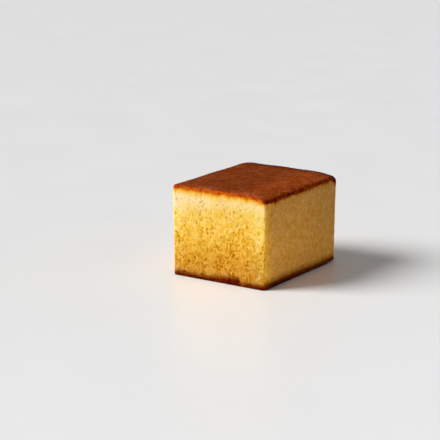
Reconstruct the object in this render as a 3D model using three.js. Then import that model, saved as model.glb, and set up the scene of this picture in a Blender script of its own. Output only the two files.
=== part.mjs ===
// A castella sponge cake: the block that is left of a loaf, standing on its flat base.
// Millimetres, +Z up. X runs across the cut face and Y along the loaf, away from that face.
// The origin is the middle of the base.
//
// One closed skin of rings: out over the base, up the four cut walls between the proud rims
// of the two browned crusts, round the top edge and in over the drooping top.
import * as THREE from "three";

// The block, measured over the rims of its crusts.
const loafWidth = 64.8;
const loafLength = 80.4;
const loafHeight = 54.9;
const cornerRadius = 1.0; // the four upright edges, as a knife leaves them

// The browned crusts, and how far the crumb between them has shrunk back from their rims:
// on the two long walls and the two cut ends, more above the base crust than under the top.
const topCrust = 2.7;
const baseCrust = 2.4;
const rimFade = 1.1; // height over which a rim runs out into the crumb
const sideSetBackLow = 0.9;
const sideSetBackHigh = 0.2;
const endSetBackLow = 0.5;
const endSetBackHigh = 0.1;

// The edges of the two crusts.
const topEdgeRadius = 0.8;
const baseChamfer = 0.45;

// The top is level in the middle and sinks towards each edge: over what width, and how far.
const leftReach = 6.5;
const leftDrop = 1.0;
const rightReachAtCut = 12;
const rightReachAtBack = 22;
const rightDropAtCut = 2.7;
const rightDropAtBack = 2.0;
const backReach = 9;
const backDrop = 1.0;
const cutReach = 3;
const cutDrop = 0.3;

// The baked top is never quite even: two shallow waves cross it.
const waveDepth = 0.12;
const waveAcross = 27;
const waveAlong = 38;

// How finely the skin is divided.
const cornerSteps = 4;
const cutEdgeSteps = 16;
const longEdgeSteps = 20;
const wallSteps = 24;
const edgeSteps = 4;
const topSteps = 12;
const topStepGrowth = 1.7; // above 1, the rings of the top crowd towards its edge

const crumbColor = new THREE.Color(0xf0c157);
const topCrustColor = new THREE.Color(0x7b3a18);
const baseCrustColor = new THREE.Color(0x5a2408);

// The block's outline from above, anticlockwise, as points with their outward normals.
function blockOutline() {
  const outline = [];
  const arcX = loafWidth / 2 - cornerRadius;
  const arcY = loafLength / 2 - cornerRadius;
  const corners = [
    { x: arcX, y: arcY, straightSteps: cutEdgeSteps },
    { x: -arcX, y: arcY, straightSteps: longEdgeSteps },
    { x: -arcX, y: -arcY, straightSteps: cutEdgeSteps },
    { x: arcX, y: -arcY, straightSteps: longEdgeSteps },
  ];
  corners.forEach((corner, quarter) => {
    for (let step = 0; step <= cornerSteps; step++) {
      const angle = (quarter + step / cornerSteps) * (Math.PI / 2);
      outline.push(outlinePoint(corner, angle));
    }
    const straightAngle = (quarter + 1) * (Math.PI / 2);
    const from = outlinePoint(corner, straightAngle);
    const to = outlinePoint(corners[(quarter + 1) % corners.length], straightAngle);
    for (let step = 1; step < corner.straightSteps; step++) {
      const share = step / corner.straightSteps;
      const x = THREE.MathUtils.lerp(from.x, to.x, share);
      const y = THREE.MathUtils.lerp(from.y, to.y, share);
      outline.push({ x, y, normalX: from.normalX, normalY: from.normalY });
    }
  });
  return outline;
}

function outlinePoint(arcCentre, angle) {
  const normalX = Math.cos(angle);
  const normalY = Math.sin(angle);
  const x = arcCentre.x + cornerRadius * normalX;
  const y = arcCentre.y + cornerRadius * normalY;
  return { x, y, normalX, normalY };
}

// How far a shoulder has sunk at a distance from its edge: a parabola, level at the reach.
function shoulder(distance, reach, drop) {
  const share = Math.max(0, 1 - distance / reach);
  return drop * share * share;
}

// The height of the baked top over a point of the base.
function topHeight(x, y) {
  const share = y / loafLength + 0.5;
  const rightReach = THREE.MathUtils.lerp(rightReachAtCut, rightReachAtBack, share);
  const rightDrop = THREE.MathUtils.lerp(rightDropAtCut, rightDropAtBack, share);
  const waves =
    Math.sin((2 * Math.PI * x) / waveAcross) * Math.cos((2 * Math.PI * y) / waveAlong);
  return (
    loafHeight -
    waveDepth * (1 + waves) -
    shoulder(loafWidth / 2 + x, leftReach, leftDrop) -
    shoulder(loafWidth / 2 - x, rightReach, rightDrop) -
    shoulder(loafLength / 2 - y, backReach, backDrop) -
    shoulder(loafLength / 2 + y, cutReach, cutDrop)
  );
}

// How far the wall stands back from the rims at a height: nothing at either crust.
function wallSetBack(edge, height, rimTop) {
  const crumbLow = baseCrust - rimFade / 2;
  const crumbHigh = rimTop - topCrust + topEdgeRadius + rimFade / 2;
  const inside =
    THREE.MathUtils.smoothstep(height, crumbLow, crumbLow + rimFade) *
    (1 - THREE.MathUtils.smoothstep(height, crumbHigh - rimFade, crumbHigh));
  const share = THREE.MathUtils.clamp((height - crumbLow) / (crumbHigh - crumbLow), 0, 1);
  const sideShare = edge.normalX * edge.normalX; // 1 on a long wall, 0 on a cut end
  const low = THREE.MathUtils.lerp(endSetBackLow, sideSetBackLow, sideShare);
  const high = THREE.MathUtils.lerp(endSetBackHigh, sideSetBackHigh, sideShare);
  return inside * THREE.MathUtils.lerp(low, high, share);
}

// One ring of the skin: each outline point moved in by an inset, at a height of its own.
function ring(outline, insetAndHeight) {
  return outline.map((edge) => {
    const { inset, height } = insetAndHeight(edge);
    const x = edge.x - edge.normalX * inset;
    const y = edge.y - edge.normalY * inset;
    return new THREE.Vector3(x, y, height);
  });
}

// The rings in order, from the base's edge to the innermost one of the top.
function skinRings(outline) {
  const rimTop = (edge) => topHeight(edge.x, edge.y) - topEdgeRadius;
  const rings = [ring(outline, () => ({ inset: baseChamfer, height: 0 }))];
  for (let step = 0; step <= wallSteps; step++) {
    const share = (1 - Math.cos((Math.PI * step) / wallSteps)) / 2;
    rings.push(
      ring(outline, (edge) => {
        const height = THREE.MathUtils.lerp(baseChamfer, rimTop(edge), share);
        return { inset: wallSetBack(edge, height, rimTop(edge)), height };
      }),
    );
  }
  for (let step = 1; step <= edgeSteps; step++) {
    const angle = (step / edgeSteps) * (Math.PI / 2);
    const inset = topEdgeRadius * (1 - Math.cos(angle));
    const rise = topEdgeRadius * Math.sin(angle);
    rings.push(ring(outline, (edge) => ({ inset, height: rimTop(edge) + rise })));
  }
  const rim = rings[rings.length - 1];
  for (let step = 1; step < topSteps; step++) {
    const scale = 1 - Math.pow(step / topSteps, topStepGrowth);
    rings.push(
      rim.map((point) => {
        const x = point.x * scale;
        const y = point.y * scale;
        return new THREE.Vector3(x, y, topHeight(x, y));
      }),
    );
  }
  return rings;
}

// Crumb colour on the walls, running into a browned colour over each crust.
function skinColor(point) {
  const depth = topHeight(point.x, point.y) - point.z;
  const toTop = THREE.MathUtils.smoothstep(depth, topCrust - rimFade, topCrust);
  const toBase = THREE.MathUtils.smoothstep(point.z, baseCrust - rimFade, baseCrust);
  return topCrustColor.clone().lerp(crumbColor, toTop).lerp(baseCrustColor, 1 - toBase);
}

// The skin as one closed mesh: bands between neighbouring rings, and a fan at each end.
function castellaGeometry() {
  const outline = blockOutline();
  const rings = skinRings(outline);
  const baseMiddle = new THREE.Vector3(0, 0, 0);
  const topMiddle = new THREE.Vector3(0, 0, topHeight(0, 0));
  const points = [...rings.flat(), baseMiddle, topMiddle];
  const baseIndex = points.length - 2;
  const topIndex = points.length - 1;
  const lastRing = (rings.length - 1) * outline.length;
  const faces = [];
  for (let along = 0; along < outline.length; along++) {
    const next = (along + 1) % outline.length;
    faces.push(baseIndex, next, along);
    faces.push(topIndex, lastRing + along, lastRing + next);
    for (let row = 0; row < lastRing; row += outline.length) {
      const above = row + outline.length;
      faces.push(row + along, row + next, above + next);
      faces.push(row + along, above + next, above + along);
    }
  }
  const geometry = new THREE.BufferGeometry().setFromPoints(points);
  const colors = points.flatMap((point) => skinColor(point).toArray());
  geometry.setAttribute("color", new THREE.Float32BufferAttribute(colors, 3));
  geometry.setIndex(faces);
  geometry.computeVertexNormals();
  return geometry;
}

function makeCastella() {
  const sponge = new THREE.MeshStandardMaterial({
    name: "sponge",
    vertexColors: true,
    roughness: 0.85,
    metalness: 0,
  });
  const castella = new THREE.Mesh(castellaGeometry(), sponge);
  castella.name = "castella";
  return castella;
}

const cake = new THREE.Group();
cake.name = "castella_sponge_cake";
cake.add(makeCastella());

export default cake;
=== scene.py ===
import math

import bpy
import numpy as np
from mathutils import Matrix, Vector


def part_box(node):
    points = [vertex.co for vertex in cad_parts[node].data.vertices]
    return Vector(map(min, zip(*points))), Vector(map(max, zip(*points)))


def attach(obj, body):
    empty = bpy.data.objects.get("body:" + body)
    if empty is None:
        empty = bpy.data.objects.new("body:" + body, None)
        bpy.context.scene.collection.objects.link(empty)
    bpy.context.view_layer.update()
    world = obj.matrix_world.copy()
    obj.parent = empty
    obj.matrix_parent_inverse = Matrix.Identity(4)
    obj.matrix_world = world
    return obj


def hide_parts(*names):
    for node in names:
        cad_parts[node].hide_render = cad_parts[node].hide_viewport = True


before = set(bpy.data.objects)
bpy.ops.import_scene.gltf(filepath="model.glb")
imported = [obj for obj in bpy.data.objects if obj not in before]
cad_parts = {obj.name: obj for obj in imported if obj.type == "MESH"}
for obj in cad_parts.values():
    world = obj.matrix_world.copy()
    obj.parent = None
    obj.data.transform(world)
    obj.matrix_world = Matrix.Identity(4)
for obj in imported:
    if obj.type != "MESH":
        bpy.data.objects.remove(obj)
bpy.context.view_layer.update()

# Castella sponge cake: the block that is left of a loaf, as three pieces that meet like the
# real layers: the crumb, the browned top skin and the browned base. Shapes are worked out in
# millimetres in the frame's own axes, and turned into metres once, when a mesh is made.
# X runs across the cut face, Y along the loaf away from that face, Z up from the base.

metresPerMm = 0.001
cakeLow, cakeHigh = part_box("castella")
halfWidth = (cakeHigh.x - cakeLow.x) / 2 / metresPerMm
halfLength = (cakeHigh.y - cakeLow.y) / 2 / metresPerMm
loafHeight = cakeHigh.z / metresPerMm

loaf = {
    # each shoulder of the top is how wide it is, and how far it sinks
    "leftShoulder": (6.5, 1.0),
    "rightShoulderAtCut": (12.0, 2.7),
    "rightShoulderAtBack": (22.0, 2.0),
    "backShoulder": (9.0, 1.0),
    "cutShoulder": (3.0, 0.3),
    "cornerDroop": (4.5, 1.3),  # the same for the corner at the back right
    "waveDepth": 0.12,  # two shallow waves cross the baked top
    "waveAcross": 27.0,
    "waveAlong": 38.0,
    "endSetBack": (0.5, 0.1),  # crumb behind the rims of the crusts: low down, and high up
    "sideSetBack": (0.9, 0.2),
    "cornerPoints": 9,  # on each quarter circle of an outline
    "wallBlend": 0.5,  # half the width over which a long wall turns into a cut end
}

hashing = {
    "cellFactors": (2376512323, 3625334849, 3407524639),  # large odd numbers
    "seedFactor": 2654435769,
    "rounds": ((16, 2146121005), (15, 2221713035), (16, 1)),  # bits to fold by, then a factor
    "range": 2**32,
}

layersReach = 1.6  # about the most that layers of noise add up to
tiny = 1e-9  # keeps a division from being by nothing
noiseRange = (0.3, 0.7)  # holds nearly all of a noise's values


def latticeRandom(cellX, cellY, cellZ, seed):
    # One number from 0 to 1 for each whole-numbered cell: the cell's three numbers times
    # three large odd numbers, added up, then folded and multiplied to mix the bits.
    lowBits = hashing["range"] - 1
    numbered = zip((cellX, cellY, cellZ), hashing["cellFactors"])
    mixed = sum(cell.astype(np.int64) * factor for cell, factor in numbered)
    mixed = ((mixed + seed * hashing["seedFactor"]) & lowBits).astype(np.uint64)
    for fold, factor in hashing["rounds"]:
        mixed = mixed ^ (mixed >> np.uint64(fold))
        mixed = (mixed * np.uint64(factor)) & np.uint64(lowBits)
    return mixed.astype(np.float64) / hashing["range"]


def smoothNoise(x, y, z, size, seed):
    # Value noise from -1 to 1: random numbers at the corners of cells of this size, eased
    # from corner to corner by 3t^2 - 2t^3 along each axis.
    x, y, z = np.broadcast_arrays(x / size, y / size, z / size)
    lowX, lowY, lowZ = np.floor(x), np.floor(y), np.floor(z)
    easeX, easeY, easeZ = (t * t * (3 - 2 * t) for t in (x - lowX, y - lowY, z - lowZ))
    total = np.zeros(x.shape)
    for stepX, weightX in ((0, 1 - easeX), (1, easeX)):
        for stepY, weightY in ((0, 1 - easeY), (1, easeY)):
            for stepZ, weightZ in ((0, 1 - easeZ), (1, easeZ)):
                corner = latticeRandom(lowX + stepX, lowY + stepY, lowZ + stepZ, seed)
                total += weightX * weightY * weightZ * corner
    return total * 2 - 1


def layeredNoise(x, y, z, size, seed, layers=3):
    # Smooth noises on top of each other, each half the size and half the height of the last,
    # divided to stay within about -1 to 1.
    total = sum(smoothNoise(x, y, z, size / 2**n, seed + n) / 2**n for n in range(layers))
    return total / layersReach


def smoothStep(value, low, high):
    # 0 below low, 1 above high, and 3t^2 - 2t^3 between them.
    share = np.clip((value - low) / (high - low), 0, 1)
    return share * share * (3 - 2 * share)


def nearing(position, edge, reach):
    # 0 further from an edge than the first distance, 1 nearer than the second, eased between.
    far, near = reach
    return smoothStep(position, edge - far, edge - near)


def between(first, second, share):
    # The first value where the share is 0, the second where it is 1, in proportion between.
    return first + (second - first) * share


def shoulder(distance, reach, drop):
    # How far the top has sunk at a distance from an edge: a parabola, level at the reach.
    return drop * np.maximum(0, 1 - distance / reach) ** 2


def topHeight(x, y):
    # The baked top: level but for two shallow waves, and sinking at its four shoulders and at
    # the corner at the back right. The right one grows wider and less deep towards the back.
    alongLoaf = y / (2 * halfLength) + 0.5
    right = zip(loaf["rightShoulderAtCut"], loaf["rightShoulderAtBack"])
    right = (between(atCut, atBack, alongLoaf) for atCut, atBack in right)
    waveX = np.sin(2 * math.pi * x / loaf["waveAcross"])
    waveY = np.cos(2 * math.pi * y / loaf["waveAlong"])
    return (
        loafHeight
        - loaf["waveDepth"] * (1 + waveX * waveY)
        - shoulder(halfWidth + x, *loaf["leftShoulder"])
        - shoulder(halfWidth - x, *right)
        - shoulder(halfLength - y, *loaf["backShoulder"])
        - shoulder(halfLength + y, *loaf["cutShoulder"])
        - shoulder(np.hypot(halfWidth - x, halfLength - y), *loaf["cornerDroop"])
    )


def roundedOutline(spacing, radius):
    # Points at even steps round the block seen from above, anticlockwise, with their outward
    # normals: four quarter circles joined by straight runs, walked by their length.
    turn = np.linspace(0, math.pi / 2, loaf["cornerPoints"])
    angles = np.concatenate([turn + quarter * math.pi / 2 for quarter in range(4)])
    signX = np.repeat((1, -1, -1, 1), len(turn))
    signY = np.repeat((1, 1, -1, -1), len(turn))
    keyX = signX * (halfWidth - radius) + radius * np.cos(angles)
    keyY = signY * (halfLength - radius) + radius * np.sin(angles)
    keys = np.stack([keyX, keyY, np.cos(angles), np.sin(angles)])
    keys = np.concatenate([keys, keys[:, :1]], axis=1)
    walked = np.concatenate([[0], np.cumsum(np.hypot(*np.diff(keys[:2], axis=1)))])
    count = int(round(walked[-1] / spacing))
    at = np.arange(count) * walked[-1] / count
    x, y, normalX, normalY = (np.interp(at, walked, key) for key in keys)
    length = np.hypot(normalX, normalY)
    return x, y, normalX / length, normalY / length


def longShare(x, y):
    # 1 where a point is nearer to a long wall than to a cut end, 0 where it isn't, and eased
    # across a narrow band between them.
    nearerLong = halfLength - np.abs(y) - halfWidth + np.abs(x)
    return smoothStep(nearerLong, -loaf["wallBlend"], loaf["wallBlend"])


rims = {
    "topOnCut": 2.2,  # how deep the browned skin shows on a cut end, and on a long wall
    "topOnLong": 1.85,
    # how much deeper it gets towards an edge, and how far off that starts and ends
    "topAtEnds": (-1.2, (12.0, 2.0)),  # on a long wall, towards the cut ends
    "topAtRight": (-0.45, (14.0, 4.0)),  # on a cut end, towards the right wall
    # and at the two ends of the right wall: starting and ending along it, and in from it
    "topAtBackRight": (2.4, (8.0, 3.0), (3.0, 1.0)),
    "topAtFrontRight": (0.5, (2.5, 1.0), (2.5, 1.0)),
    # a noise is the height it is taken at, its size and its seed, and here once its layers
    "topUneven": 0.8,
    "topUnevenNoise": (0.0, 2.6, 41),
    "topRagged": 0.3,
    "topRaggedNoise": (0.0, 1.1, 43),
    "topTeeth": 1.3,  # here and there the browning reaches this much deeper on a long wall
    "topTeethNoise": (0.0, 2.0, 47),
    "topLeast": 0.8,
    "baseOnCut": 2.5,  # how high the browned base shows, by wall
    "baseOnLong": 3.1,
    "baseAtBack": (-0.6, -10.0, 22.0),  # how much higher it gets on a long wall, from Y to Y
    "baseUneven": 0.4,
    "baseUnevenNoise": (9.0, 3.0, 53),
    "baseRagged": 0.6,
    "baseRaggedNoise": (5.0, 0.9, 59, 2),
    "baseLeast": 0.7,
    # on the front it climbs from X to X, by this much, and drops again from X to X; next to
    # that crumb hangs down over it, between two such edges
    "thickPatch": (2.4, (-7.0, 14.0), (12.6, 15.6)),
    "barePatch": (0.9, (14.0, 16.0), (16.5, 19.5)),
    "frontReach": (3.0, 1.0),
}


def topCrustDepth(x, y):
    # The browned skin's depth below the top, all round: uneven, with teeth on long walls, and
    # less deep close to the ends of those and to the right end of a cut end, but deeper at
    # the corners where the right wall ends.
    onLong = longShare(x, y)
    amount, reach = rims["topAtEnds"]
    depthOnLong = rims["topOnLong"] + amount * nearing(np.abs(y), halfLength, reach)
    amount, reach = rims["topAtRight"]
    depthOnCut = rims["topOnCut"] + amount * nearing(x, halfWidth, reach)
    depth = between(depthOnCut, depthOnLong, onLong)
    for name, towardsEnd in (("topAtBackRight", y), ("topAtFrontRight", -y)):
        amount, reachAlong, reachIn = rims[name]
        atEnd = nearing(towardsEnd, halfLength, reachAlong)
        depth = depth + amount * atEnd * nearing(x, halfWidth, reachIn)
    depth = depth + rims["topUneven"] * layeredNoise(x, y, *rims["topUnevenNoise"])
    depth = depth + rims["topRagged"] * smoothNoise(x, y, *rims["topRaggedNoise"])
    teeth = np.maximum(0, smoothNoise(x, y, *rims["topTeethNoise"])) ** 2 * onLong
    return np.maximum(depth + rims["topTeeth"] * teeth, rims["topLeast"])


def baseCrustHeight(x, y):
    # The base crust's height, all round: uneven and ragged, and on the front a patch that
    # climbs to the right, then one where crumb hangs down over it.
    onLong = longShare(x, y)
    height = between(rims["baseOnCut"], rims["baseOnLong"], onLong)
    amount, start, end = rims["baseAtBack"]
    height = height + amount * onLong * smoothStep(y, start, end)
    height = height + rims["baseUneven"] * layeredNoise(x, y, *rims["baseUnevenNoise"])
    height = height + rims["baseRagged"] * layeredNoise(x, y, *rims["baseRaggedNoise"])
    onFront = nearing(-y, halfLength, rims["frontReach"])
    amount, (start, end), drop = rims["thickPatch"]
    climb = np.clip((x - start) / (end - start), 0, 1) * (1 - smoothStep(x, *drop))
    height = height + amount * climb * onFront
    amount, start, end = rims["barePatch"]
    bare = smoothStep(x, *start) * (1 - smoothStep(x, *end))
    return np.maximum(height - amount * bare * onFront, rims["baseLeast"])


def crumbSetBack(share, longWall):
    # How far the crumb stands back from the rims, from low down (0) to under the top (1).
    byWall = zip(loaf["endSetBack"], loaf["sideSetBack"])
    low, high = (between(onCut, onLong, longWall) for onCut, onLong in byWall)
    return between(low, high, share)


def ringFaces(rows, columns):
    # Four-cornered faces between each ring of points and the next, facing out.
    row, column = np.meshgrid(np.arange(rows - 1), np.arange(columns), indexing="ij")
    below, above = row * columns, (row + 1) * columns
    following = (column + 1) % columns
    corners = (below + column, below + following, above + following, above + column)
    return np.stack(corners, axis=-1).reshape(-1, 4)


def fanFaces(ring, middle, facingUp):
    # Three-cornered faces from a ring of point numbers to one point in its middle.
    following = np.roll(ring, -1)
    middle = np.full(len(ring), middle)
    return np.stack((ring, following, middle) if facingUp else (following, ring, middle), axis=-1)


def addObject(name, data):
    # A new object in the scene.
    made = bpy.data.objects.new(name, data)
    bpy.context.scene.collection.objects.link(made)
    return made


def makePiece(name, points, quads, fans, attributes, material):
    # A piece from points in millimetres, with the numbers that its material reads at each.
    mesh = bpy.data.meshes.new(name)
    mesh.from_pydata((points * metresPerMm).tolist(), [], quads.tolist() + fans.tolist())
    for key, values in attributes.items():
        layer = mesh.attributes.new(key, "FLOAT", "POINT")
        layer.data.foreach_set("value", np.asarray(values, np.float32))
    mesh.shade_smooth()
    mesh.materials.append(material)
    piece = addObject(name, mesh)
    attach(piece, "root")
    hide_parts("castella")
    print(f"{name}: {len(points)} points, {2 * len(quads) + len(fans)} triangles")


def makeRingPiece(name, outline, inset, z, attributes, material):
    # A piece of rings from the bottom to the top, each the outline moved in by an inset along
    # its normals, closed by a fan at each end to a middle point whose numbers are all 0.
    x, y, normalX, normalY = outline
    rings = np.stack([x - normalX * inset, y - normalY * inset, z], axis=-1)
    rows, columns, _ = rings.shape
    points = np.concatenate([rings.reshape(-1, 3), rings[[0, -1]].mean(axis=1)])
    first = np.arange(columns)
    last = (rows - 1) * columns + first
    fans = [fanFaces(first, len(points) - 2, False), fanFaces(last, len(points) - 1, True)]
    attributes = {key: np.append(values.ravel(), (0, 0)) for key, values in attributes.items()}
    quads = ringFaces(rows, columns)
    makePiece(name, points, quads, np.concatenate(fans), attributes, material)


def feed(node, name, value):
    # Gives an input of a node a plain value, or joins another node's output to it.
    if isinstance(value, bpy.types.NodeSocket):
        node.id_data.links.new(value, node.inputs[name])
    else:
        node.inputs[name].default_value = value


def addNode(kind, inputs, tree=None, **settings):
    # One shader node with its inputs and settings, in the tree given or else in the one that
    # its inputs come from.
    trees = (value.id_data for value in inputs.values() if isinstance(value, bpy.types.NodeSocket))
    made = (tree or next(trees)).nodes.new("ShaderNode" + kind)
    for name, value in settings.items():
        setattr(made, name, value)
    for name, value in inputs.items():
        feed(made, name, value)
    return made


def newMaterial(name, constants):
    # A material of one Principled shader, with its constant sockets set.
    material = bpy.data.materials.new(name)
    material.use_nodes = True
    tree = material.node_tree
    tree.nodes.clear()
    shader = addNode("BsdfPrincipled", constants, tree)
    addNode("OutputMaterial", {0: shader.outputs[0]})
    return material, tree, shader


def attribute(tree, name):
    # One of the numbers that the mesh holds at each point.
    return addNode("Attribute", {}, tree, attribute_name=name).outputs["Fac"]


def plus(total, *others):
    # The sum of all the values.
    for other in others:
        total = addNode("Math", {0: total, 1: other}, operation="ADD").outputs[0]
    return total


def times(product, *others):
    # The product of all the values.
    for other in others:
        product = addNode("Math", {0: product, 1: other}, operation="MULTIPLY").outputs[0]
    return product


def blend(patterns, shares):
    # Patterns added up, each times its share.
    return plus(*(times(*part) for part in zip(patterns, shares)))


def swing(pattern, amount):
    # A pattern from 0 to 1 as a swing to either side of nothing, this large from end to end.
    inputs = {0: pattern, 1: amount, 2: -amount / 2}
    return addNode("Math", inputs, operation="MULTIPLY_ADD").outputs[0]


def fade(value, low, high, atLow=0.0, atHigh=1.0):
    # One share up to a low value, another from a high value on, and 3t^2 - 2t^3 between them.
    inputs = {"Value": value, "From Min": low, "From Max": high, "To Min": atLow, "To Max": atHigh}
    return addNode("MapRange", inputs, interpolation_type="SMOOTHSTEP").outputs[0]


def mixColors(share, first, second, blendType="MIX"):
    # The first colour where the share is 0 and the second where it is 1.
    first, second = ((*c, 1) if isinstance(c, tuple) else c for c in (first, second))
    inputs = {0: share, 6: first, 7: second}
    return addNode("Mix", inputs, data_type="RGBA", blend_type=blendType).outputs[2]


def tinted(color, tint, share=1.0):
    # A colour, multiplied by a tint where the share is 1.
    return mixColors(share, color, tint, "MULTIPLY")


def spread(value, low, high):
    # How far a value is on its way from low to high, from 0 to 1.
    inputs = {"Value": value, "From Min": low, "From Max": high}
    return addNode("MapRange", inputs).outputs[0]


def ramp(value, stops):
    # A colour for each value: the stops are (value, colour), lowest first.
    low, high = stops[0][0], stops[-1][0]
    made = addNode("ValToRGB", {"Fac": spread(value, low, high)})
    elements = made.color_ramp.elements
    while len(elements) < len(stops):
        elements.new(0.5)
    for element, (place, color) in zip(elements, stops):
        element.position = (place - low) / (high - low)
        element.color = (*color, 1)
    return made.outputs["Color"]


def rampByWall(longWall, value, look, name):
    # The colour for a value from one ramp on a cut end, and from another on a long wall.
    return mixColors(longWall, *(ramp(value, look[name + wall]) for wall in ("OnCut", "OnLong")))


def stretched(tree, stretch=(1, 1, 1)):
    # Object coordinates, drawn out along each axis by a factor.
    coordinates = addNode("TexCoord", {}, tree).outputs["Object"]
    scale = tuple(1 / factor for factor in stretch)
    return addNode("Mapping", {"Vector": coordinates, "Scale": scale}).outputs[0]


def millimetres(place, axis):
    # One coordinate of a place, times the millimetres in a metre.
    return times(addNode("SeparateXYZ", {0: place}).outputs[axis], 1 / metresPerMm)


def noise(vector, size, detail, roughness=0.55):
    # Soft noise whose patches are about this many millimetres across, spread over 0 to 1.
    scale = 1 / (size * metresPerMm)
    inputs = {"Vector": vector, "Scale": scale, "Detail": detail, "Roughness": roughness}
    return spread(addNode("TexNoise", inputs).outputs["Fac"], *noiseRange)


def bumpOn(shader, height, strength, depth, under=None):
    # Bumps as deep as this many millimetres, on the plain surface or on the bumps given.
    inputs = {"Height": height, "Strength": strength, "Distance": depth * metresPerMm}
    if under:
        inputs["Normal"] = under
    bump = addNode("Bump", inputs).outputs[0]
    feed(shader, "Normal", bump)
    return bump


crumb = {
    "cornerRadius": 1.7,  # the four upright edges, worn soft
    "grain": 0.41,  # size of a mesh cell on the walls
    "rows": 126,
    "startHeight": 0.5,  # hidden in the base crust
    "endDepth": 0.6,  # hidden under the top skin
    "tuckDepth": 1.2,  # the last of the wall leans in under the skin
    "tuck": 0.5,
    "bubbles": (
        {"cell": 4.0, "radius": (0.8, 1.25), "share": 0.2, "tall": 1.0, "seed": 11},
        {"cell": 1.9, "radius": (0.55, 1.02), "share": 1.0, "tall": 1.1, "seed": 18},
        {"cell": 1.0, "radius": (0.32, 0.6), "share": 1.0, "tall": 1.2, "seed": 25},
    ),
    "bubbleLong": 1.25,  # all are drawn out along the loaf, and by "tall" upwards
    "clusters": 0.3,  # bubbles are larger in some places than in others
    "clusterNoise": (5.0, 67),  # each noise is its size and its seed
    "thinning": 0.2,  # and smaller towards the top
    "warp": 0.4,  # how far their outlines wander from round
    "warpSize": 1.3,
    "warpSeeds": (31, 33, 37),  # along X, Y and Z
    "openOnCut": 0.46,  # how much of a cut bubble's depth is left open, by wall
    "openOnLong": 0.12,
    "mostDepth": 1.4,
    "tufts": 0.15,
    "tuftNoise": (1.9, 71),
    "streaks": 0.07,  # of the knife, on the long walls
    "streakTall": 7.0,
    "streakNoise": (1.3, 83),
    "sway": 0.2,
    "swayNoise": (17.0, 89),
    "mostProud": 0.05,  # the most that crumb stands out beyond the rims
    # pale marks that a knife has dragged in the right wall: from Y, Z, to Y, Z
    "drags": (
        (2.3, 47.0, -1.0, 41.2),
        (-20.9, 38.0, -20.2, 30.5),
        (-19.6, 26.5, -20.8, 21.5),
        (-20.8, 21.0, -17.0, 17.5),
        (-1.6, 16.5, -1.2, 13.5),
        (20.0, 33.0, 19.0, 27.0),
    ),
    "dragWidth": 0.45,
    "dragDepth": 0.12,
    "rightFacing": 0.9,  # a wall whose normal has more X than this is the right one
}


def cutBubbles(x, y, z, inX, inY, bubbles, swell):
    # How deep the air bubbles that a knife has cut open reach in behind a wall. Each cell of
    # a 3-D grid may hold one ball, somewhere in it. Where a point of the wall is inside a
    # ball, it is pushed in to the ball's far side, less and less towards the rim of the cut:
    # by the depth times the square root of 1 - (distance from its middle / its radius)^2.
    size, seed = bubbles["cell"], bubbles["seed"]
    y, z = y / crumb["bubbleLong"], z / bubbles["tall"]
    cellX, cellY, cellZ = np.floor(x / size), np.floor(y / size), np.floor(z / size)
    deepest = np.zeros(x.shape)
    for stepX, stepY, stepZ in np.ndindex(3, 3, 3):
        cell = (cellX + stepX - 1, cellY + stepY - 1, cellZ + stepZ - 1)
        chance, fat, partX, partY, partZ = (latticeRandom(*cell, seed + n) for n in range(5))
        radius = between(*bubbles["radius"], fat**2) * swell
        toX = (cell[0] + partX) * size - x
        toY = (cell[1] + partY) * size - y
        toZ = (cell[2] + partZ) * size - z
        along = toX * inX + toY * inY
        aside = toX**2 + toY**2 + toZ**2 - along**2
        reach = along + np.sqrt(np.maximum(radius**2 - aside, 0))
        rim = np.maximum(radius**2 - along**2, tiny)
        bowl = reach * np.sqrt(np.maximum(1 - aside / rim, 0))
        cut = (chance < bubbles["share"]) & (np.abs(along) < radius)
        deepest = np.maximum(deepest, np.where(cut, bowl, 0))
    return deepest


def knifeDrags(y, z, onRight):
    # How strong a knife's drag marks are at each point of the right wall: for each mark, 1 on
    # its line and exp(-(distance / width)^2) beside it.
    marks = np.zeros(y.shape)
    for startY, startZ, endY, endZ in crumb["drags"]:
        alongY, alongZ = endY - startY, endZ - startZ
        share = ((y - startY) * alongY + (z - startZ) * alongZ) / (alongY**2 + alongZ**2)
        share = np.clip(share, 0, 1)
        away = np.hypot(y - startY - share * alongY, z - startZ - share * alongZ)
        marks = np.maximum(marks, np.exp(-(away / crumb["dragWidth"]) ** 2))
    return marks * onRight


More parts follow.
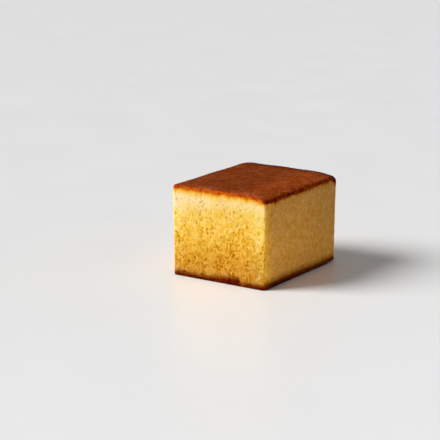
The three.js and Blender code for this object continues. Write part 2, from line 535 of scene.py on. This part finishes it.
def makeCrumb(material):
    # The soft inside of the cake, as its four cut walls: rings of points, each pushed in by
    # the bubbles cut open there, and in or out by tufts, knife streaks and a slow sway.
    outline = roundedOutline(crumb["grain"], crumb["cornerRadius"])
    x, y, normalX, normalY = outline
    share = np.linspace(0, 1, crumb["rows"])[:, None]
    facingX = np.broadcast_to(normalX**2, (crumb["rows"], len(x)))
    z = between(crumb["startHeight"], topHeight(x, y) - crumb["endDepth"], share)
    setBack = crumbSetBack(share, facingX)
    wallX, wallY = x - normalX * setBack, y - normalY * setBack
    wall = (wallX, wallY, z)
    swell = 1 + crumb["clusters"] * smoothNoise(*wall, *crumb["clusterNoise"])
    swell = swell * (1 - crumb["thinning"] * share)
    warped = [
        place + crumb["warp"] * smoothNoise(*wall, crumb["warpSize"], seed)
        for place, seed in zip(wall, crumb["warpSeeds"])
    ]
    pores = [
        cutBubbles(*warped, -normalX, -normalY, bubbles, swell) for bubbles in crumb["bubbles"]
    ]
    pore = np.minimum(np.max(pores, axis=0), crumb["mostDepth"])
    tufts = layeredNoise(*wall, *crumb["tuftNoise"])
    streaks = smoothNoise(wallX, wallY, z / crumb["streakTall"], *crumb["streakNoise"]) * facingX
    sway = smoothNoise(*wall, *crumb["swayNoise"])
    drags = knifeDrags(wallY, z, normalX > crumb["rightFacing"])
    depth = topHeight(wallX, wallY) - z
    tuck = crumb["tuck"] * (1 - smoothStep(depth, crumb["endDepth"], crumb["tuckDepth"]))
    inset = setBack + tuck + pore * between(crumb["openOnCut"], crumb["openOnLong"], facingX)
    inset = inset - crumb["tufts"] * tufts - crumb["streaks"] * streaks - crumb["sway"] * sway
    inset = np.maximum(inset, -crumb["mostProud"]) + crumb["dragDepth"] * drags
    attributes = {
        "pore": pore,
        "drag": drags,
        "longWall": longShare(wallX, wallY),
        "toLong": halfWidth - np.abs(wallX),
        "toCut": halfLength + wallY,
        "toBack": halfLength - wallY,
        "underTop": depth - topCrustDepth(wallX, wallY),
        "overBase": z - baseCrustHeight(wallX, wallY),
    }
    makeRingPiece("sponge_crumb", outline, inset, z, attributes, material)


# In the looks below a noise is its size in mm, its detail and its roughness if not usual. A
# fade is where it is 0 and where it is 1, or two places and the share at each.

white = (1.0, 1.0, 1.0)

crumbLook = {
    # crumb on a cut end by its height in mm, palest high up; the deeper gold lower down is partly
    # the crumb's own and partly painted shade
    "onCut": (
        (3.0, (0.55, 0.252, 0.024)), (10.0, (0.57, 0.275, 0.024)),
        (17.0, (0.65, 0.32, 0.024)), (25.0, (0.73, 0.415, 0.043)),
        (35.0, (0.8, 0.485, 0.066)), (42.0, (0.81, 0.535, 0.104)),
        (46.0, (0.84, 0.61, 0.225)), (52.0, (0.85, 0.665, 0.33)),
    ),
    # crumb on the right wall by its height: its deep orange is painted warm shade, and its lighter
    # colour low down is partly painted light from below
    "onLong": (
        (5.0, (0.88, 0.39, 0.064)), (18.0, (0.82, 0.37, 0.058)),
        (32.0, (0.69, 0.307, 0.049)), (48.0, (0.565, 0.252, 0.043)),
    ),
    # the left wall is more yellow: it has none of the right wall's painted warm shade
    "onLeft": (
        (5.0, (0.74, 0.4, 0.062)), (25.0, (0.7, 0.385, 0.064)),
        (48.0, (0.65, 0.375, 0.088)),
    ),
    "leftWall": (-10.0, -20.0),  # by X
    "rightWall": (10.0, 20.0),
    # on a cut end the height swings by this much, and counts for more towards the left
    "heightSwing": 4.0,
    "leftRaise": (-18.0, 4.0, 3.5, 0.0),  # by X
    "calm": (38.0, 46.0, 1.0, 0.3),  # by height: high up on a cut end all is more even
    # painted light: a cut end is paler next to the long walls, where light bleeds round the edge,
    # but less so on the left and high up
    "marginLightTint": (1.02, 1.16, 1.7),
    "marginSwing": 5.0,
    "margin": (12.0, 4.5),
    "marginByHeight": (38.0, 47.0, 1.0, 0.2),
    "marginByX": (-20.0, 0.0, 0.55, 1.0),
    # painted glow: the right wall is lighter and more golden next to the cut end, where light from
    # the lit cut end shines through the corner, by the distance in mm
    "cornerGlowTint": (
        (0.8, (1.24, 1.5, 1.4)), (2.0, (1.2, 1.29, 0.78)),
        (4.5, (1.14, 1.12, 0.68)), (8.0, white),
    ),
    # painted shade: the long walls are duller towards the loaf's back, most of all high up
    "backShadeTint": (0.85, 0.86, 0.95),
    "back": (45.0, 0.0),
    "backByHeight": (5.0, 35.0, 0.4, 1.0),
    # painted warm shade: the cut end at the back, which lies in shade, is tinted browner and less
    # yellow, most of all high up
    "backEndWarmShadeTint": ((30.0, (1.02, 0.83, 0.64)), (46.0, (1.02, 0.77, 0.44))),
    "backEnd": (6.0, 1.5),
    "dragTint": (1.16, 1.24, 1.5),  # paler where a knife has dragged
    # what browning does to the crumb, by its distance in mm from the skin above; on a long wall it
    # is partly painted shade under the overhanging skin
    "underSkinOnCut": (
        (-0.4, (0.66, 0.19, 0.008)), (0.3, (0.86, 0.36, 0.03)),
        (1.0, (0.95, 0.59, 0.115)), (1.7, (0.97, 0.78, 0.3)),
        (2.6, (0.99, 0.86, 0.54)), (4.2, white),
    ),
    "underSkinOnLong": (
        (-0.4, (0.36, 0.09, 0.01)), (0.3, (0.6, 0.34, 0.12)),
        (1.0, (0.86, 0.7, 0.5)), (1.8, (0.98, 0.93, 0.9)),
        (3.2, white),
    ),
    # and from the base crust below; on a long wall it is partly painted shade near the floor
    "overBaseOnCut": (
        (-0.4, (0.34, 0.12, 0.04)), (0.3, (0.54, 0.36, 0.35)),
        (0.9, (0.76, 0.66, 0.9)), (1.6, (0.9, 0.86, 1.2)),
        (3.0, white),
    ),
    "overBaseOnLong": (
        (-0.4, (0.2, 0.07, 0.01)), (0.4, (0.42, 0.31, 0.1)),
        (1.2, (0.58, 0.5, 0.3)), (2.2, (0.76, 0.72, 0.6)),
        (3.8, white),
    ),
    # both distances wobble by this much, with the fine and the medium noise
    "wobble": 1.2,
    "wobbleShares": (0.5, 0.5),
    # some patches are yellow, others peach
    "patchOnCut": ((0.15, (0.89, 0.8, 0.35)), (0.5, white), (0.85, (1.09, 1.15, 1.7))),
    "patchOnLong": ((0.15, (0.89, 0.88, 0.64)), (0.5, white), (0.85, (1.11, 1.13, 1.5))),
    "patchShares": (0.8, 0.2),  # of the mottle and of the medium noise
    # painted shade in the pores: an open pore is tinted amber, for shade and light bounced inside
    # it, but high up on a cut end it is tan
    "poreShadeOnCut": ((32.0, (0.85, 0.71, 0.09)), (46.0, (0.82, 0.66, 0.38))),
    "poreShadeOnLong": (0.91, 0.8, 0.66),
    "poreSwing": 0.4,
    "pore": (0.0, 0.6),  # by depth in mm
    # and the walls between pores are pale
    "paleTints": ((1.14, 1.22, 1.95), (1.05, 1.17, 1.45)),  # on a cut end, and on a long wall
    "pale": (0.2, -0.2),
    # how strong patches and pores are below and above these heights, by wall
    "contrast": (24.0, 48.0),
    "contrastByWall": ((1.0, 0.45), (1.05, 1.2)),
    "fine": (0.9, 3.0, 0.6),
    "fineStretch": (1, 1.5, 1.3),
    "plainNoises": ((2.8, 2.0), (5.0, 2.0), (11.0, 2.0)),  # mottle, medium and coarse
    "bumpStrength": (0.5, 0.3),  # on a cut end, and on a long wall
    "fineBump": 0.25,
    "cellSize": 0.8,
    "cellBump": 0.2,
}


def crumbMaterial():
    # Colours by height on the cut ends and on the long walls, partly painted shade, times tints
    # near their edges, with painted glow, light and shade, times patches, pores tinted with
    # painted shade and the pale walls between pores, times the browning at the crusts, partly
    # painted shade.
    material, tree, shader = newMaterial("golden sponge crumb", {
        "Roughness": 0.9,
        "Specular IOR Level": 0.04,
        "Subsurface Weight": 1.0,
        "Subsurface Radius": (1.0, 0.6, 0.12),
        "Subsurface Scale": 4.0 * metresPerMm,
    })
    look = crumbLook
    plain = stretched(tree)
    tall = stretched(tree, look["fineStretch"])
    fine = noise(tall, *look["fine"])
    mottle, medium, coarse = (noise(plain, *size) for size in look["plainNoises"])
    longWall = attribute(tree, "longWall")
    toBack = attribute(tree, "toBack")
    across, height = (millimetres(plain, axis) for axis in "XZ")
    # a cut end
    calm = fade(height, *look["calm"])
    sway = times(swing(coarse, look["heightSwing"]), calm)
    swayed = plus(height, sway, fade(across, *look["leftRaise"]))
    # a cut end is darker and deeper gold lower down, partly painted shade
    onCut = ramp(swayed, look["onCut"])
    # painted light next to the long walls
    toLong = plus(attribute(tree, "toLong"), swing(medium, look["marginSwing"]))
    byPlace = (fade(height, *look["marginByHeight"]), fade(across, *look["marginByX"]))
    margin = times(fade(toLong, *look["margin"]), *byPlace)
    onCut = tinted(onCut, look["marginLightTint"], margin)
    # painted warm shade on the cut end at the back
    onCut = tinted(onCut, ramp(height, look["backEndWarmShadeTint"]), fade(toBack, *look["backEnd"]))
    # a long wall
    # the right wall's colour, with painted warm shade and painted light from below
    onLong = ramp(height, look["onLong"])
    # painted glow on the right wall next to the cut end
    corner = ramp(attribute(tree, "toCut"), look["cornerGlowTint"])
    onLong = tinted(onLong, corner, fade(across, *look["rightWall"]))
    onLong = mixColors(fade(across, *look["leftWall"]), onLong, ramp(height, look["onLeft"]))
    color = mixColors(longWall, onCut, onLong)
    # painted shade towards the loaf's back
    back = times(fade(toBack, *look["back"]), longWall, fade(height, *look["backByHeight"]))
    color = tinted(color, look["backShadeTint"], back)
    # yellow and peach patches, painted shade in the pores and the pale walls between them
    higher = fade(height, *look["contrast"])
    contrasts = (fade(higher, 0, 1, *reach) for reach in look["contrastByWall"])
    contrast = mixColors(longWall, *contrasts)
    patchShare = times(contrast, mixColors(longWall, calm, white))
    patches = blend((mottle, medium), look["patchShares"])
    color = tinted(color, rampByWall(longWall, patches, look, "patch"), patchShare)
    hole = plus(attribute(tree, "pore"), swing(fine, look["poreSwing"]))
    # painted shade in the open pores
    pore = mixColors(longWall, ramp(height, look["poreShadeOnCut"]), look["poreShadeOnLong"])
    color = tinted(color, pore, times(fade(hole, *look["pore"]), contrast))
    pale = mixColors(longWall, *look["paleTints"])
    color = tinted(color, pale, times(fade(hole, *look["pale"]), patchShare))
    color = tinted(color, look["dragTint"], attribute(tree, "drag"))
    # browning under the top skin and over the base, with a wobbling edge; on the long walls it is
    # partly painted shade under the skin and near the floor
    wobble = swing(blend((fine, medium), look["wobbleShares"]), look["wobble"])
    for name, crust in (("underTop", "underSkin"), ("overBase", "overBase")):
        distance = plus(attribute(tree, name), wobble)
        color = tinted(color, rampByWall(longWall, distance, look, crust))
    feed(shader, "Base Color", color)
    strength = fade(longWall, 0, 1, *look["bumpStrength"])
    fineBump = bumpOn(shader, fine, strength, look["fineBump"])
    cellScale = 1 / (look["cellSize"] * metresPerMm)
    cells = addNode("TexVoronoi", {"Vector": tall, "Scale": cellScale})
    bumpOn(shader, cells.outputs["Distance"], strength, look["cellBump"], fineBump)
    return material


topCrust = {
    "grain": 0.32,
    "edgeOnCut": 0.35,  # radius of the top's rounded edge, where a knife cut it
    "edgeOnLong": 1.3,  # and on the long walls, as it was baked
    "cornerRadius": 1.6,  # of the flat part inside those edges
    "edgeRows": 6,
    "rimRows": 8,
    "leastRim": 0.2,  # the rim reaches at least this far below the rounded edge
    "roll": 0.15,  # the rim's lower edge rolls in by this much
    "tuckIn": 1.5,
    "tuckDown": 0.5,
    "tuckRows": 4,
    "wrinkles": 0.06,
    "wrinkleNoise": (0.0, 1.7, 101),  # the height it is taken at, its size and its seed
    "lines": 0.04,
    "lineLong": 12.0,
    "lineNoise": (0.0, 1.2, 113),
    "ragged": 0.1,
    "raggedNoise": (0.9, 127),
    "raggedDepth": (0.1, 0.6),  # over these depths it sets in
    "innerDepth": 3.6,  # depth of the middle of the hidden underside
    "farOverRim": 9.0,  # what the flat top has for its distance from the rim's lower edge
}


def skinRelief(x, y):
    # What the skin adds to the plain top: fine wrinkles, and faint lines across the loaf.
    wrinkles = layeredNoise(x, y, *topCrust["wrinkleNoise"])
    lines = smoothNoise(x / topCrust["lineLong"], y, *topCrust["lineNoise"])
    return topCrust["wrinkles"] * wrinkles + topCrust["lines"] * lines


def makeTopCrust(material):
    # The baked skin: a square grid pressed into the top's rounded outline, then rows that
    # turn down round the edge, down the rim to its ragged lower edge and in under it.
    edges = np.array((topCrust["edgeOnLong"], topCrust["edgeOnCut"]))
    reachX, reachY = np.array((halfWidth, halfLength)) - edges
    radius = topCrust["cornerRadius"]
    countX, countY = (int(2 * reach / topCrust["grain"]) + 1 for reach in (reachX, reachY))
    flatX, flatY = np.meshgrid(
        np.linspace(-reachX, reachX, countX), np.linspace(-reachY, reachY, countY), indexing="ij"
    )
    coreX = np.clip(flatX, radius - reachX, reachX - radius)
    coreY = np.clip(flatY, radius - reachY, reachY - radius)
    overX, overY = (flatX - coreX) / radius, (flatY - coreY) / radius
    x = coreX + radius * overX * np.sqrt(1 - overY**2 / 2)
    y = coreY + radius * overY * np.sqrt(1 - overX**2 / 2)
    top = np.stack([x, y, topHeight(x, y) + skinRelief(x, y)], axis=-1).reshape(-1, 3)
    numbers = np.arange(countX * countY).reshape(countX, countY)
    sides = (numbers[:-1, 0], numbers[-1, :-1], numbers[:0:-1, -1], numbers[0, :0:-1])
    loop = np.concatenate(sides)
    rim = top[loop, :2]
    out = rim - np.stack([coreX, coreY], axis=-1).reshape(-1, 2)[loop]
    out = out / np.linalg.norm(out, axis=1, keepdims=True)
    edge = between(topCrust["edgeOnCut"], topCrust["edgeOnLong"], out[:, 0] ** 2)
    rimX, rimY = (rim + out * edges).T
    rimDepth = np.maximum(topCrustDepth(rimX, rimY), edge + topCrust["leastRim"])

    # share of the edge's width, depth below the top and inward move of each row
    angle = np.linspace(0, math.pi / 2, topCrust["edgeRows"] + 1)[1:, None]
    down = np.linspace(0, 1, topCrust["rimRows"] + 1)[1:, None]
    under = np.linspace(0, 1, topCrust["tuckRows"] + 1)[1:, None]
    edgeShare = np.concatenate([np.sin(angle), 0 * down + 1, 0 * under + 1])
    depth = np.concatenate([
        edge * (1 - np.cos(angle)),
        between(edge, rimDepth, down),
        rimDepth + topCrust["tuckDown"] * np.sqrt(under),
    ])
    roll, tuckIn = topCrust["roll"], topCrust["tuckIn"]
    inward = np.concatenate([0 * angle, roll * down**3, roll + tuckIn * under])
    ragged = layeredNoise(rimX, rimY, loafHeight - depth, *topCrust["raggedNoise"])
    ragged = ragged * smoothStep(depth, *topCrust["raggedDepth"])
    inward = inward - topCrust["ragged"] * ragged
    across = rim + out * (edges * edgeShare[..., None] - inward[..., None])
    height = topHeight(*np.moveaxis(across, -1, 0)) + skinRelief(*rim.T) - depth
    rows = np.concatenate([across, height[..., None]], axis=-1)

    topFaces = (numbers[:-1, :-1], numbers[1:, :-1], numbers[1:, 1:], numbers[:-1, 1:])
    topFaces = np.stack(topFaces, axis=-1).reshape(-1, 4)
    ringNumbers = np.concatenate([loop, len(top) + np.arange(depth.size)])
    rimFaces = ringNumbers[ringFaces(len(depth) + 1, len(loop))][:, ::-1]  # rows run downwards
    middle = (0, 0, loafHeight - topCrust["innerDepth"])
    points = np.concatenate([top, rows.reshape(-1, 3), [middle]])
    fans = fanFaces(ringNumbers[-len(loop):], len(points) - 1, False)
    flat = np.zeros(len(top))
    overRim = (rimDepth - depth).ravel()
    allX, allY, _ = points.T
    attributes = {
        "depth": np.concatenate([flat, depth.ravel(), [topCrust["innerDepth"]]]),
        "overRim": np.concatenate([flat + topCrust["farOverRim"], overRim, [0]]),
        "longWall": longShare(allX, allY),
        "toLong": halfWidth - np.abs(allX),
        "toLeft": halfWidth + allX,
        "toBack": halfLength - allY,
    }
    quads = np.concatenate([topFaces, rimFaces])
    makePiece("top_crust", points, quads, fans, attributes, material)


topLook = {
    "browns": (
        (0.3, (0.143, 0.019, 0.0002)), (0.5, (0.178, 0.031, 0.0025)),
        (0.7, (0.22, 0.048, 0.014)),
    ),
    "brownShares": (0.22, 0.28, 0.36, 0.14),  # of the blotches, patches, grain and lines
    "plainNoises": ((14.0, 3.0), (4.5, 3.0), (2.4, 2.0)),  # blotches, patches and spots
    "grain": (1.8, 3.0, 0.6),
    "grainStretch": (0.7, 1.1, 1),
    "lines": (2.4, 2.0),
    "lineStretch": (6, 1, 1),  # long and faint, across the loaf
    # painted light: the right shoulder is lighter, as if lit from the right; the edge at the cut
    # end is lighter too, wider on the left and less so on the right
    "rightLightTint": (1.5, 1.6, 1.75),
    "rightward": (7.0, 24.0),
    "frontTint": (1.4, 1.4, 1.95),
    "front": (5.0, 0.8),
    "frontNarrowing": (-24.0, -12.0, 0.5, 1.0),
    "frontByRight": (1.0, 0.6),
    # its other edges are darker, partly as browner baked edges and partly as painted shade where
    # the
    # top turns down away from the light: a tint, and a reach in mm, swinging with patches and
    # grain
    "toBack": ((0.42, 0.38, 0.5), (14.0, 0.8)),
    "toLeft": ((0.7, 0.6, 0.7), (4.0, 0.8)),
    "toLong": ((0.62, 0.39, 0.08), (5.0, 0.8)),
    "patchSwing": 2.2,
    "grainSwing": 1.0,
    # and so are the two ends of the right edge, partly painted shade where the top sinks there:
    # tint, reach along it, and how far in from it
    "backCorner": ((0.36, 0.1, 0.12), (8.0, 3.0), (6.0, 2.0)),
    "frontCorner": ((0.72, 0.35, 0.08), (4.5, 0.8), (3.2, 1.2)),
    # down the rim, by depth in mm below the top
    "rim": (0.02, 0.3),
    "rimSwing": 0.5,
    "rimOnCut": (
        (0.0, (0.36, 0.058, 0.012)), (0.4, (0.48, 0.074, 0.006)),
        (1.0, (0.5, 0.066, 0.001)), (2.5, (0.6, 0.12, 0.001)),
    ),
    "rimOnLong": (
        (0.0, (0.22, 0.022, 0.001)), (0.3, (0.21, 0.017, 0.0003)),
        (2.4, (0.21, 0.013, 0.0001)),
    ),
    "rimOnLeft": (0.25, 0.044, 0.004),
    "leftWall": (-10.0, -20.0),  # by X
    "footTint": (0.64, 0.17, 0.003),  # its lower edge, on a cut end
    "foot": (0.6, 0.0),
    "footSwing": 0.6,
    "spotsOnCut": ((0.2, (1.18, 1.55, 1.8)), (0.5, white), (0.8, (0.7, 0.45, 0.3))),
    "spotsOnLong": ((0.2, (1.45, 2.2, 2.2)), (0.5, (1.0, 0.9, 0.9)), (0.8, (0.56, 0.26, 0.2))),
    "reliefShares": (0.7, 0.3),  # of the grain and the lines
    "reliefStrength": 0.6,
    "reliefDepth": 0.4,
    "roughness": (0.8, 0.62),  # between grains, and on them
}


def topCrustMaterial():
    # Blotches, patches, grain and lines added up and turned into browns by one ramp, times painted
    # light on the right shoulder and tints near the edges of the top, darker ones partly painted
    # shade; and down the rim, ramps by depth times spots.
    material, tree, shader = newMaterial("baked brown skin", {
        "Specular IOR Level": 0.015,
        "Subsurface Weight": 0.3,
        "Subsurface Radius": (1.0, 0.35, 0.1),
        "Subsurface Scale": 0.6 * metresPerMm,
    })
    look = topLook
    plain = stretched(tree)
    blotch, patches, spots = (noise(plain, *size) for size in look["plainNoises"])
    grain = noise(stretched(tree, look["grainStretch"]), *look["grain"])
    lines = noise(stretched(tree, look["lineStretch"]), *look["lines"])
    longWall, depth, toBack = (attribute(tree, name) for name in ("longWall", "depth", "toBack"))
    across = millimetres(plain, "X")
    rightward = fade(across, *look["rightward"])
    color = ramp(blend((blotch, patches, grain, lines), look["brownShares"]), look["browns"])
    # painted light on the right shoulder
    color = tinted(color, look["rightLightTint"], rightward)
    # the edges of the top; the darker ones are partly painted shade
    toFront = plus(millimetres(plain, "Y"), halfLength)
    toFront = times(toFront, fade(across, *look["frontNarrowing"]))
    front = times(fade(toFront, *look["front"]), fade(rightward, 0, 1, *look["frontByRight"]))
    color = tinted(color, look["frontTint"], front)
    uneven = plus(swing(patches, look["patchSwing"]), swing(grain, look["grainSwing"]))
    # the right shoulder's painted light also keeps its edge less dark
    toLong = plus(attribute(tree, "toLong"), rightward)  # less dark on the right
    toEdges = {"toBack": toBack, "toLeft": attribute(tree, "toLeft"), "toLong": toLong}
    # darker edges, partly painted shade where the top turns away from the light
    for name, distance in toEdges.items():
        tint, reach = look[name]
        color = tinted(color, tint, fade(plus(distance, uneven), *reach))
    # the rim
    downRim = plus(depth, swing(grain, look["rimSwing"]))
    overRim = plus(attribute(tree, "overRim"), swing(grain, look["footSwing"]))
    foot = fade(overRim, *look["foot"])
    onCut = mixColors(foot, ramp(downRim, look["rimOnCut"]), look["footTint"])
    onLong = ramp(downRim, look["rimOnLong"])
    onLong = mixColors(fade(across, *look["leftWall"]), onLong, look["rimOnLeft"])
    rim = tinted(mixColors(longWall, onCut, onLong), rampByWall(longWall, spots, look, "spots"))
    color = mixColors(fade(depth, *look["rim"]), color, rim)
    # darker ends of the right edge, partly painted shade
    for name, distance in (("backCorner", toBack), ("frontCorner", toFront)):
        tint, reach, (far, near) = look[name]
        inFromWall = fade(across, halfWidth - far, halfWidth - near)
        color = tinted(color, tint, times(fade(distance, *reach), inFromWall))
    feed(shader, "Base Color", color)
    relief = blend((grain, lines), look["reliefShares"])
    bumpOn(shader, relief, look["reliefStrength"], look["reliefDepth"])
    feed(shader, "Roughness", fade(grain, 0, 1, *look["roughness"]))
    return material


baseCrust = {
    "cornerRadius": 3.1,
    "grain": 0.33,
    # the small round between the flat base and the rim: how far in, and how far up
    "footOnCut": (0.35, 0.35),
    "footOnLong": (2.2, 0.8),
    "footRows": 4,
    "underRings": 6,
    "underReach": 28.0,
    "rimRows": 12,
    "tuckIn": 1.8,
    "tuckUp": 0.35,
    "tuckRows": 5,
    "proud": 0.12,  # how far the rim's upper edge stands out from the crumb
    "curl": 1.2,  # the foot of the corner at the back of the right wall has curled up
    "curlAcross": (8.0, 0.0),  # from this far in to this far, in X and in Y
    "curlAlong": (12.0, 0.0),
    "lumps": 0.22,
    "lumpNoise": (1.1, 131),
    "lumpHeight": (0.1, 0.6),  # over these heights they set in
}


def makeBaseCrust(material):
    # The browned base: flat underneath, a small round at its foot, a rim that leans in to
    # meet the crumb at its ragged upper edge, and in under the crumb.
    outline = roundedOutline(baseCrust["grain"], baseCrust["cornerRadius"])
    x, y, normalX, normalY = outline
    height = baseCrustHeight(x, y)
    feet = zip(baseCrust["footOnCut"], baseCrust["footOnLong"])
    footIn, footUp = (between(onCut, onLong, normalX**2) for onCut, onLong in feet)
    flat = np.linspace(1, 0, baseCrust["underRings"], endpoint=False)[:, None]
    angle = np.linspace(0, math.pi / 2, baseCrust["footRows"])[:, None]
    up = np.linspace(0, 1, baseCrust["rimRows"] + 1)[1:, None]
    under = np.linspace(0, 1, baseCrust["tuckRows"] + 1)[1:, None]
    lean = crumbSetBack(0, normalX**2) - baseCrust["proud"]
    inset = np.concatenate([
        baseCrust["underReach"] * flat**2 + footIn,
        footIn * (1 - np.sin(angle)),
        lean * up**1.5,
        lean + baseCrust["tuckIn"] * under,
    ])
    z = np.concatenate([
        0 * flat + 0 * height,
        footUp * (1 - np.cos(angle)),
        between(footUp, height, up),
        height + baseCrust["tuckUp"] * np.sqrt(under),
    ])
    curl = nearing(x, halfWidth, baseCrust["curlAcross"])
    curl = curl * nearing(y, halfLength, baseCrust["curlAlong"])
    z = z + baseCrust["curl"] * curl * (1 - np.minimum(z / height, 1))
    lumps = layeredNoise(x, y, z, *baseCrust["lumpNoise"])
    lumps = lumps * smoothStep(z, *baseCrust["lumpHeight"])
    inset = np.maximum(inset + baseCrust["lumps"] * lumps, 0)
    attributes = {"overBase": z - height}
    makeRingPiece("base_crust", outline, inset, z, attributes, material)


baseLook = {
    "browns": ((0.25, (0.04, 0.0012, 0.0001)), (0.8, (0.15, 0.017, 0.0004))),
    "brownShares": (0.6, 0.4),  # of the patches and of the grain
    "plainNoises": ((3.5, 4.0), (0.9, 4.0)),
    # the rim's upper edge is lighter, by height in mm over it
    "edgeTint": (0.28, 0.072, 0.003),
    "edge": (-1.4, 0.3),
    "edgeSwing": 1.0,
    "reliefStrength": 0.7,
    "reliefDepth": 0.3,
    "roughness": (0.85, 0.7),  # in dark patches, and in brown ones
}


def baseCrustMaterial():
    # Patches and grain added up and turned into browns by one ramp, lighter at the upper edge.
    material, tree, shader = newMaterial("dark baked base", {"Specular IOR Level": 0.01})
    look = baseLook
    plain = stretched(tree)
    patches, grain = (noise(plain, *size) for size in look["plainNoises"])
    color = ramp(blend((patches, grain), look["brownShares"]), look["browns"])
    upwards = plus(attribute(tree, "overBase"), swing(grain, look["edgeSwing"]))
    color = mixColors(fade(upwards, *look["edge"]), color, look["edgeTint"])
    feed(shader, "Base Color", color)
    bumpOn(shader, grain, look["reliefStrength"], look["reliefDepth"])
    feed(shader, "Roughness", fade(patches, 0, 1, *look["roughness"]))
    return material


stage = {
    "floorSize": 8.0,
    "floorHeight": -0.00005,  # just clear of the cake's flat base
    "floorColor": (0.9, 0.9, 0.9, 1),
    "floorCloud": (60.0, 2.0),  # faint patches, between these two roughnesses
    "floorRoughness": (0.28, 0.34),
    # a pale band at the horizon, as bright as the floor, fades to a dim even light above it
    "horizonFade": (0.05, 0.15),
    "horizonToSky": (0.92, 0.2),
    # each light's strength, its width, and where it stands: degrees round from the cut face
    # towards +X, and degrees up
    "key": (3.9, 32.0, -50.0, 38.0),
    "fill": (0.2, 60.0, 100.0, 20.0),
}

view = {
    "azimuth": 33.82,  # degrees round from the cut face, towards +X
    "elevation": 13.92,
    "distance": 1.073,
    "lookAt": (-0.0829, 0.0856, 0.0),
    "focalPixels": 1600.0,
    "imagePixels": 440.0,
    "sensor": 36.0,
    "clip": (0.01, 30),
}


def makeFloor():
    # One wide level square, pale and a little uneven in its shine.
    half, z = stage["floorSize"] / 2, stage["floorHeight"]
    corners = [(-half, -half, z), (half, -half, z), (half, half, z), (-half, half, z)]
    mesh = bpy.data.meshes.new("floor")
    mesh.from_pydata(corners, [], [(0, 1, 2, 3)])
    material, tree, shader = newMaterial("pale floor", {
        "Base Color": stage["floorColor"],
        "Specular IOR Level": 0.35,
    })
    cloud = noise(stretched(tree), *stage["floorCloud"])
    feed(shader, "Roughness", fade(cloud, 0, 1, *stage["floorRoughness"]))
    mesh.materials.append(material)
    floor = addObject("floor", mesh)


def direction(azimuth, elevation):
    # A unit vector from the cake towards a place: azimuth from the cut face, in degrees.
    a, e = math.radians(azimuth), math.radians(elevation)
    return np.array([math.sin(a) * math.cos(e), -math.cos(a) * math.cos(e), math.sin(e)])


def aim(thing, towards):
    # Turns a camera or a light, which look along their own -Z, in a direction.
    thing.rotation_euler = Vector(towards).to_track_quat("-Z", "Y").to_euler()


def makeSun(name):
    # A light from far away, shining from its place towards the cake.
    strength, width, azimuth, elevation = stage[name]
    light = bpy.data.lights.new(name, "SUN")
    light.energy = strength
    light.angle = math.radians(width)
    aim(addObject(name, light), -direction(azimuth, elevation))


def makeWorld():
    # White light all round, whose strength depends on the height of its direction.
    world = bpy.data.worlds.new("studio")
    world.use_nodes = True
    tree = world.node_tree
    looking = addNode("TexCoord", {}, tree).outputs["Generated"]
    upward = addNode("SeparateXYZ", {0: looking}).outputs["Z"]
    background = tree.nodes["Background"]
    feed(background, "Color", (1, 1, 1, 1))
    feed(background, "Strength", fade(upward, *stage["horizonFade"], *stage["horizonToSky"]))
    bpy.context.scene.world = world


def makeCamera():
    # A camera whose lens is as long for its sensor as the focal length is for the image.
    back = direction(view["azimuth"], view["elevation"])
    data = bpy.data.cameras.new("camera")
    data.sensor_width = view["sensor"]
    data.lens = view["focalPixels"] / view["imagePixels"] * view["sensor"]
    data.clip_start, data.clip_end = view["clip"]
    camera = addObject("camera", data)
    camera.location = np.array(view["lookAt"]) + back * view["distance"]
    aim(camera, -back)
    bpy.context.scene.camera = camera


makeCamera()
makeSun("key")
makeSun("fill")
makeWorld()
makeFloor()
print("stage ready")
makeCrumb(crumbMaterial())
makeTopCrust(topCrustMaterial())
makeBaseCrust(baseCrustMaterial())
bpy.context.scene.view_settings.view_transform = "Standard"
